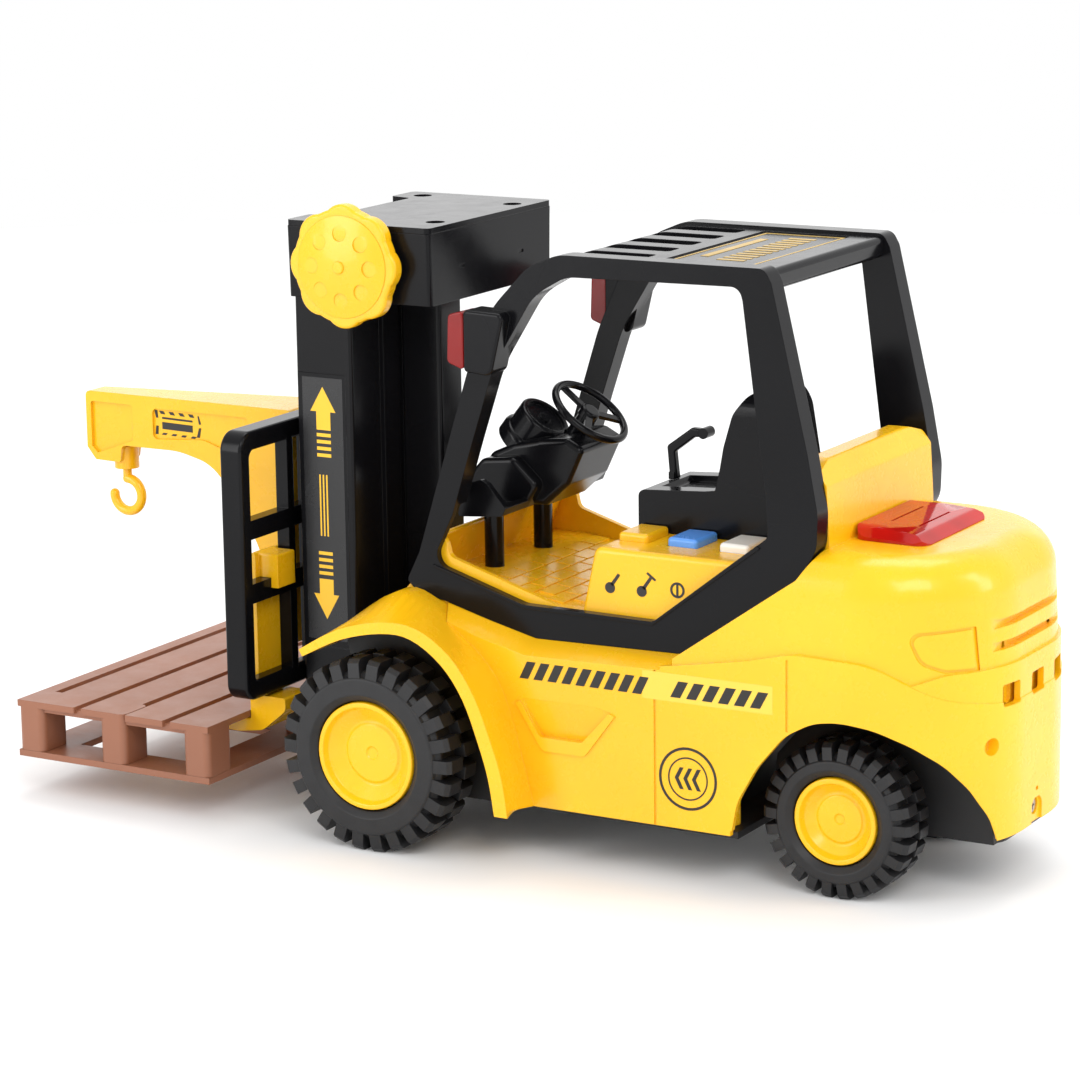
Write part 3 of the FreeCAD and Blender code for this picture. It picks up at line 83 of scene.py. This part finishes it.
def add(tree, kind, **values):
    n = tree.nodes.new(kind)
    for key, value in values.items():
        if hasattr(n, key):
            setattr(n, key, value)
        else:
            n.inputs[key.replace("_", " ")].default_value = value
    return n


def noise(tree, scale, detail=3.0, rough=0.55, stretch=None):
    coords = add(tree, "ShaderNodeTexCoord")
    source = coords.outputs["Object"]
    if stretch:
        mapping = add(tree, "ShaderNodeMapping")
        mapping.inputs["Scale"].default_value = stretch
        tree.links.new(source, mapping.inputs["Vector"])
        source = mapping.outputs["Vector"]
    n = add(tree, "ShaderNodeTexNoise", Scale=scale, Detail=detail, Roughness=rough)
    tree.links.new(source, n.inputs["Vector"])
    return n.outputs["Fac"]


def ramp(tree, fac, stops):
    r = add(tree, "ShaderNodeValToRGB")
    r.color_ramp.elements[0].position = stops[0][0]
    r.color_ramp.elements[0].color = (*stops[0][1], 1)
    r.color_ramp.elements[1].position = stops[-1][0]
    r.color_ramp.elements[1].color = (*stops[-1][1], 1)
    for place, colour in stops[1:-1]:
        r.color_ramp.elements.new(place).color = (*colour, 1)
    tree.links.new(fac, r.inputs["Fac"])
    return r.outputs["Color"]


def spread(tree, fac, low, high):
    m = add(tree, "ShaderNodeMapRange")
    m.inputs["From Min"].default_value = 0.3
    m.inputs["From Max"].default_value = 0.7
    m.inputs["To Min"].default_value = low
    m.inputs["To Max"].default_value = high
    tree.links.new(fac, m.inputs["Value"])
    return m.outputs["Result"]


def shade(colour, k):
    return tuple(min(1.0, c * k) for c in colour)


def plastic(name, colour, rough=0.3, grain=2600.0, bump=0.05, vary=0.08, coat=0.0,
            edge=0.00035, glow=0.0, specular=0.5):
    """Moulded plastic: faint colour flow, fine surface grain and softly rounded edges."""
    m, tree, bsdf = new_material(name)
    flow = noise(tree, 14.0, 2.0)
    tint = ramp(tree, flow, [(0.3, shade(colour, 1 - vary)), (0.7, shade(colour, 1 + vary))])
    tree.links.new(tint, bsdf.inputs["Base Color"])
    wear = noise(tree, 90.0, 6.0, 0.7)
    tree.links.new(spread(tree, wear, rough * 0.85, rough * 1.2), bsdf.inputs["Roughness"])
    soft = add(tree, "ShaderNodeBevel", samples=6)
    soft.inputs["Radius"].default_value = edge
    rise = add(tree, "ShaderNodeBump", Strength=bump, Distance=0.0002)
    tree.links.new(noise(tree, grain, 2.0), rise.inputs["Height"])
    tree.links.new(soft.outputs["Normal"], rise.inputs["Normal"])
    tree.links.new(rise.outputs["Normal"], bsdf.inputs["Normal"])
    bsdf.inputs["Coat Weight"].default_value = coat
    bsdf.inputs["Coat Roughness"].default_value = 0.06
    bsdf.inputs["IOR"].default_value = 1.5
    bsdf.inputs["Specular IOR Level"].default_value = specular
    if glow:
        bsdf.inputs["Subsurface Weight"].default_value = glow
        bsdf.inputs["Subsurface Radius"].default_value = (0.004, 0.002, 0.0005)
    return m


def rubber(name):
    m, tree, bsdf = new_material(name)
    tint = noise(tree, 160.0, 5.0, 0.65)
    tree.links.new(ramp(tree, tint, [(0.3, shade(TYRE, 0.75)), (0.7, shade(TYRE, 1.5))]),
                   bsdf.inputs["Base Color"])
    tree.links.new(spread(tree, tint, 0.40, 0.55), bsdf.inputs["Roughness"])
    bsdf.inputs["Specular IOR Level"].default_value = 0.4
    soft = add(tree, "ShaderNodeBevel", samples=6)
    soft.inputs["Radius"].default_value = 0.0004
    rise = add(tree, "ShaderNodeBump", Strength=0.18, Distance=0.0003)
    tree.links.new(noise(tree, 1500.0, 4.0), rise.inputs["Height"])
    tree.links.new(soft.outputs["Normal"], rise.inputs["Normal"])
    tree.links.new(rise.outputs["Normal"], bsdf.inputs["Normal"])
    return m


def lens(name, colour, clear=0.3):
    """Clear coloured plastic with light moulding waves."""
    m, tree, bsdf = new_material(name)
    tint = noise(tree, 40.0, 2.0)
    tree.links.new(ramp(tree, tint, [(0.3, shade(colour, 0.8)), (0.7, shade(colour, 1.2))]),
                   bsdf.inputs["Base Color"])
    bsdf.inputs["Roughness"].default_value = 0.07
    bsdf.inputs["Transmission Weight"].default_value = clear
    bsdf.inputs["IOR"].default_value = 1.49
    bsdf.inputs["Specular IOR Level"].default_value = 0.35
    rise = add(tree, "ShaderNodeBump", Strength=0.05, Distance=0.0003)
    tree.links.new(noise(tree, 300.0, 2.0), rise.inputs["Height"])
    tree.links.new(rise.outputs["Normal"], bsdf.inputs["Normal"])
    return m


def metal(name, colour=(0.6, 0.6, 0.61)):
    m, tree, bsdf = new_material(name)
    streak = noise(tree, 900.0, 4.0, 0.6, stretch=(1, 1, 0.1))
    tree.links.new(ramp(tree, streak, [(0.3, shade(colour, 0.8)), (0.7, shade(colour, 1.1))]),
                   bsdf.inputs["Base Color"])
    tree.links.new(spread(tree, streak, 0.25, 0.42), bsdf.inputs["Roughness"])
    bsdf.inputs["Metallic"].default_value = 1.0
    return m


MATERIALS = {
    "body_yellow": plastic("yellow_gloss", YELLOW, 0.26, coat=0.2, glow=0.12, specular=0.42),
    "black_gloss": plastic("black_gloss", BLACK, 0.18, bump=0.03, vary=0.2, specular=0.17),
    "chassis_black": plastic("chassis_satin", CHARCOAL, 0.45, bump=0.12, vary=0.15, specular=0.3),
    "tyre_rubber": rubber("tyre_rubber"),
    "pallet_brown": plastic("pallet_satin", BROWN, 0.38, bump=0.10, vary=0.10, edge=0.0003,
                            specular=0.5),
    "red_clear": lens("red_clear", RED),
    "button_blue": plastic("button_blue", (0.10, 0.33, 0.90), 0.25, coat=0.2),
    "button_white": plastic("button_white", (0.93, 0.91, 0.85), 0.3, vary=0.03, coat=0.3),
    "steel": metal("screw_steel"),
    "board_green": plastic("board_green", (0.01, 0.12, 0.04), 0.35),
    "cell_case": plastic("cell_case", (0.05, 0.05, 0.06), 0.3),
    "lamp_clear": lens("lamp_clear", (0.9, 0.9, 0.85), 0.6),
    "cord": plastic("cord_weave", (0.7, 0.7, 0.66), 0.7, grain=4000.0, bump=0.5),
}
LAMP_RED = lens("lamp_red", (0.24, 0.003, 0.002), 0.15)
SCREW_DARK = metal("screw_dark", (0.12, 0.12, 0.125))
INK_BLACK = plastic("ink_black", (0.012, 0.010, 0.008), 0.35, vary=0.15, edge=0.00004)
INK_YELLOW = plastic("ink_yellow", (0.90, 0.52, 0.02), 0.35, vary=0.06, edge=0.00004)
INK_GOLD = plastic("ink_gold", (0.52, 0.33, 0.05), 0.35, vary=0.10, edge=0.00004)
FILM_PALE = plastic("film_pale", (0.94, 0.58, 0.05), 0.22, vary=0.04, edge=0.00004, coat=0.3)
FILM_BLACK = plastic("film_black", (0.007, 0.007, 0.008), 0.25, vary=0.15, edge=0.00004)


# ---------------------------------------------------------------- CAD nodes
def dress_cad_nodes():
    slots = {s["node"]: s["material_slot"] for s in frame["record"]["subparts"]}
    for name, o in NODES.items():
        o.data.materials.clear()
        o.data.materials.append(MATERIALS[slots[name]])
        for p in o.data.polygons:
            p.use_smooth = True
        weld = o.modifiers.new("weld", "WELD")
        weld.merge_threshold = 0.00001
        split = o.modifiers.new("split", "EDGE_SPLIT")
        split.split_angle = math.radians(36)
        split.use_edge_sharp = False
        o.modifiers.new("normals", "WEIGHTED_NORMAL").keep_sharp = True
    NODES["head_screws"].data.materials[0] = SCREW_DARK
    for side in ("left", "right"):
        NODES["lamp_lens_" + side].data.materials[0] = LAMP_RED


dress_cad_nodes()


# ---------------------------------------------------------------- printed marks
def decal(name, body, material, shapes, place, thick=MARK):
    """Flat printed shapes, each an outline in mm, laid on a face by place(u, v, lift)."""
    mesh = bpy.data.meshes.new(name)
    bm = bmesh.new()
    for shape in shapes:
        count = len(shape)
        low = [bm.verts.new(place(u, v, 0.0)) for u, v in shape]
        top = [bm.verts.new(place(u, v, thick)) for u, v in shape]
        bm.faces.new(top)
        bm.faces.new(low[::-1])
        for i in range(count):
            j = (i + 1) % count
            bm.faces.new((low[i], low[j], top[j], top[i]))
    bmesh.ops.recalc_face_normals(bm, faces=bm.faces)
    bm.to_mesh(mesh)
    bm.free()
    mesh.materials.append(material)
    o = bpy.data.objects.new(name, mesh)
    bpy.context.scene.collection.objects.link(o)
    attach(o, body)
    return o


def bars(u0, u1, v0, v1, count, lean=0.0, fill=0.5):
    """Evenly spaced strokes between u0 and u1, leaning by lean."""
    pitch = (u1 - u0) / (count - 1 + fill)
    made = []
    for i in range(count):
        a = u0 + i * pitch
        b = a + pitch * fill
        made.append([(a, v0), (b, v0), (b + lean, v1), (a + lean, v1)])
    return made


def frame_line(u0, u1, v0, v1, w):
    return [[(u0, v0), (u1, v0), (u1, v0 + w), (u0, v0 + w)],
            [(u0, v1 - w), (u1, v1 - w), (u1, v1), (u0, v1)],
            [(u0, v0 + w), (u0 + w, v0 + w), (u0 + w, v1 - w), (u0, v1 - w)],
            [(u1 - w, v0 + w), (u1, v0 + w), (u1, v1 - w), (u1 - w, v1 - w)]]


def ring(u, v, r0, r1, count=40, start=0.0, sweep=360.0):
    made = []
    for i in range(count):
        a, b = (math.radians(start + sweep * k / count) for k in (i, i + 1))
        made.append([(u + r * math.cos(t), v + r * math.sin(t))
                     for r, t in ((r0, a), (r1, a), (r1, b), (r0, b))])
    return made


def disc(u, v, r, count=20):
    return [[(u + r * math.cos(i * math.tau / count), v + r * math.sin(i * math.tau / count))
             for i in range(count)]]


def on_side(y):
    """Places marks on a face that looks along +Y, or along -Y if y is negative."""
    s = 1 if y > 0 else -1
    return lambda u, v, lift: Vector((u, y + s * lift, v)) * MM


def side_marks():
    for tag, y in (("left", SIDE_Y), ("right", -SIDE_Y)):
        place = on_side(y)
        decal("side_film_" + tag, "truck", FILM_PALE,
              [[(-73.5, 63.0), (-121.5, 63.0), (-121.5, 72.6), (-73.5, 72.6)]], place, FILM)
        decal("side_bars_front_" + tag, "truck", INK_BLACK,
              bars(-73.0, -26.5, 64.2, 70.2, 9, -3.0, 0.62), place)
        decal("side_bars_rear_" + tag, "truck", INK_BLACK,
              bars(-117.0, -84.0, 64.6, 70.2, 6, -3.0, 0.62), place, 0.15)
        badge = ring(-90.4, 37.3, 9.9, 10.8) + ring(-90.4, 37.3, 6.9, 7.4)
        for k in range(3):
            u = -90.4 + (k - 1) * 3.2
            badge.append([(u - 1.6, 33.6), (u - 0.2, 33.6), (u + 1.7, 37.3), (u + 0.3, 37.3)])
            badge.append([(u + 0.3, 37.3), (u + 1.7, 37.3), (u - 0.2, 41.0), (u - 1.6, 41.0)])
        decal("side_badge_" + tag, "truck", INK_BLACK, badge, place)


def column_marks():
    for tag, y in (("left", COLUMN_Y), ("right", -COLUMN_Y)):
        place = on_side(y)
        marks = [[(58.2, 144.5), (63.4, 153.3), (68.6, 144.5)],
                 [(60.4, 138.0), (66.2, 138.0), (66.2, 144.5), (60.4, 144.5)],
                 [(69.0, 79.0), (63.8, 70.0), (58.6, 79.0)],
                 [(60.8, 79.0), (60.8, 84.5), (66.6, 84.5), (66.6, 79.0)]]
        for k in range(4):
            z = 135.6 - k * 2.4
            marks.append([(60.4, z), (66.2, z), (66.2, z + 1.2), (60.4, z + 1.2)])
            z = 86.0 + k * 2.4
            marks.append([(60.8, z), (66.6, z), (66.6, z + 1.2), (60.8, z + 1.2)])
        for k in range(3):
            marks.append([(62.2 + k * 1.4, 100.0), (62.8 + k * 1.4, 100.0),
                          (62.8 + k * 1.4, 122.0), (62.2 + k * 1.4, 122.0)])
        decal("column_film_" + tag, "truck", FILM_BLACK,
              [[(55.2, 62.5), (71.8, 62.5), (71.8, 156.5), (55.2, 156.5)]], place, FILM)
        decal("column_marks_" + tag, "truck", INK_YELLOW, marks, place)


def console_marks():
    place = on_side(CONSOLE_Y)
    marks = []
    for u in (-55.6, -67.6):
        marks += disc(u, 96.2, 1.9)
        marks.append([(u - 0.2, 97.6), (u - 1.1, 96.8), (u - 3.9, 100.8), (u - 3.0, 101.4)])
    marks.append([(-72.6, 100.1), (-69.4, 102.4), (-69.9, 103.0), (-73.1, 100.7)])
    marks += ring(-81.0, 98.0, 1.9, 2.7, 24)
    marks.append([(-81.4, 96.0), (-80.6, 96.0), (-80.6, 100.0), (-81.4, 100.0)])
    decal("console_marks", "truck", INK_BLACK, marks, place)


def jib_marks():
    """Framed label on the jib's side panels: dashed border round two plain bars."""
    def on_jib(side):
        def place(u, v, lift):
            half = JIB_ROOT_HALF - JIB_TAPER * (u - JIB_ROOT_X) / JIB_LENGTH - JIB_PANEL_DEPTH
            return Vector((u, side * (half + lift), v)) * MM
        return place

    marks = bars(138.5, 154.5, 131.2, 132.3, 4, 0.9, 0.45)
    marks += bars(138.5, 154.5, 123.4, 124.2, 4, -0.9, 0.45)
    marks += [[(156.9, 129.6), (157.6, 132.4), (156.2, 132.4), (155.8, 129.6)],
              [(155.8, 126.6), (156.9, 126.6), (157.4, 123.4), (156.0, 123.4)],
              [(135.4, 129.0), (136.4, 129.0), (137.0, 132.0), (136.4, 132.0)],
              [(135.4, 127.6), (136.4, 127.6), (137.6, 124.0), (136.2, 124.0)],
              [(139.5, 129.4), (154.0, 129.4), (154.0, 130.1), (139.5, 130.1)],
              [(139.5, 125.6), (154.0, 125.6), (154.0, 128.2), (139.5, 128.2)]]
    for tag, side in (("left", 1), ("right", -1)):
        decal("jib_marks_" + tag, "carriage", INK_BLACK, marks, on_jib(side))


def roof_marks():
    def place(u, v, lift):
        return Vector((u, v, ROOF_Z + lift)) * MM
    marks = frame_line(-103.0, -73.0, -35.5, 35.5, 0.9)
    marks += [[(-80.5, -22.0), (-77.5, -22.0), (-77.5, 22.0), (-80.5, 22.0)]]
    for k in range(12):
        v = -28.0 + k * 4.8
        marks.append([(-96.0, v), (-86.0, v), (-86.0, v + 2.4), (-96.0, v + 2.4)])
    decal("roof_marks", "truck", INK_GOLD, marks, place)


def lifting_cord(rings=90, sides=10):
    """Laid cord from the spool down to the carriage."""
    top = Vector((CORD_X, 0, CORD_TOP_Z)) * MM
    bottom = Vector((CORD_X, 0, CORD_BOTTOM_Z)) * MM
    mesh = bpy.data.meshes.new("lift_cord_laid")
    bm = bmesh.new()
    loops = []
    for k in range(rings + 1):
        centre = top.lerp(bottom, k / rings)
        loop = []
        for j in range(sides):
            turn = j * math.tau / sides
            radius = (CORD_R + CORD_STRAND_RISE * math.cos(3 * turn + k * 0.9)) * MM
            loop.append(bm.verts.new(centre + radius * Vector((math.cos(turn), math.sin(turn), 0))))
        loops.append(loop)
    for above, below in zip(loops, loops[1:]):
        for j in range(sides):
            i = (j + 1) % sides
            bm.faces.new((above[j], above[i], below[i], below[j]))
    bm.faces.new(loops[0])
    bm.faces.new(loops[-1][::-1])
    bmesh.ops.recalc_face_normals(bm, faces=bm.faces)
    bm.to_mesh(mesh)
    bm.free()
    mesh.materials.append(MATERIALS["cord"])
    o = bpy.data.objects.new("lift_cord_laid", mesh)
    bpy.context.scene.collection.objects.link(o)
    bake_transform(o)
    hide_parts("lift_cord")


lifting_cord()
side_marks()
column_marks()
console_marks()
jib_marks()
roof_marks()


# ---------------------------------------------------------------- studio
def make_stage():
    floor = bpy.data.meshes.new("studio_floor")
    bm = bmesh.new()
    rim = [Vector((1.6 * math.cos(a), 1.6 * math.sin(a), 0))
           for a in (i * math.tau / 64 for i in range(64))]
    bm.faces.new([bm.verts.new(p) for p in rim])
    bm.to_mesh(floor)
    o = bpy.data.objects.new("studio_floor", floor)
    bpy.context.scene.collection.objects.link(o)
    m, tree, bsdf = new_material("studio_paper")
    paper = ramp(tree, noise(tree, 30.0), [(0.3, (0.90, 0.90, 0.90)), (0.7, (0.92, 0.92, 0.92))])
    tree.links.new(paper, bsdf.inputs["Base Color"])
    bsdf.inputs["Roughness"].default_value = 0.9
    floor.materials.append(m)


def area_light(name, place, aim, size, power, tint=(1, 1, 1)):
    data = bpy.data.lights.new(name, "AREA")
    data.shape = "RECTANGLE"
    data.size, data.size_y = size
    data.energy = power
    data.color = tint
    o = bpy.data.objects.new(name, data)
    bpy.context.scene.collection.objects.link(o)
    o.location = place
    o.rotation_mode = "QUATERNION"
    o.rotation_quaternion = (Vector(aim) - Vector(place)).to_track_quat("-Z", "Y")
    return o


def make_lights():
    world = bpy.data.worlds.new("studio_world")
    world.use_nodes = True
    world.node_tree.nodes["Background"].inputs["Color"].default_value = (1, 1, 1, 1)
    world.node_tree.nodes["Background"].inputs["Strength"].default_value = 1.0
    bpy.context.scene.world = world
    middle = (0, 0, 0.09)
    area_light("key_softbox", (-0.9, 0.9, 1.1), middle, (0.7, 0.7), 7.0)
    area_light("side_softbox", (0.7, 1.1, 0.5), middle, (0.4, 0.9), 5.0)
    area_light("rear_strip", (-1.2, -0.3, 0.6), middle, (0.25, 0.9), 3.5)
    area_light("top_softbox", (0.1, -0.4, 1.3), middle, (0.9, 0.6), 5.0)
    area_light("back_softbox", (0.9, -1.56, 0.62), (0.1, -0.1, 0.15), (2.4, 0.7), 2.0)


def make_camera():
    """From behind the truck's left side, slightly above."""
    data = bpy.data.cameras.new("camera")
    data.lens = 123.15
    data.sensor_width = 36.0
    data.clip_start, data.clip_end = 0.05, 20.0
    o = bpy.data.objects.new("camera", data)
    bpy.context.scene.collection.objects.link(o)
    yaw, pitch, roll = map(math.radians, (30.127, 12.628, -0.773))
    ahead = Vector((math.sin(yaw) * math.cos(pitch), -math.cos(yaw) * math.cos(pitch),
                    -math.sin(pitch)))
    right = ahead.cross(Vector((0, 0, 1))).normalized()
    up = right.cross(ahead)
    right, up = (math.cos(roll) * right + math.sin(roll) * up,
                 -math.sin(roll) * right + math.cos(roll) * up)
    turn = Matrix((right, up, -ahead)).transposed()
    o.matrix_world = Matrix.Translation((-0.63765, 1.0952, 0.38155)) @ turn.to_4x4()
    bpy.context.scene.camera = o


make_stage()
make_lights()
make_camera()
bpy.context.scene.view_settings.view_transform = "Standard"
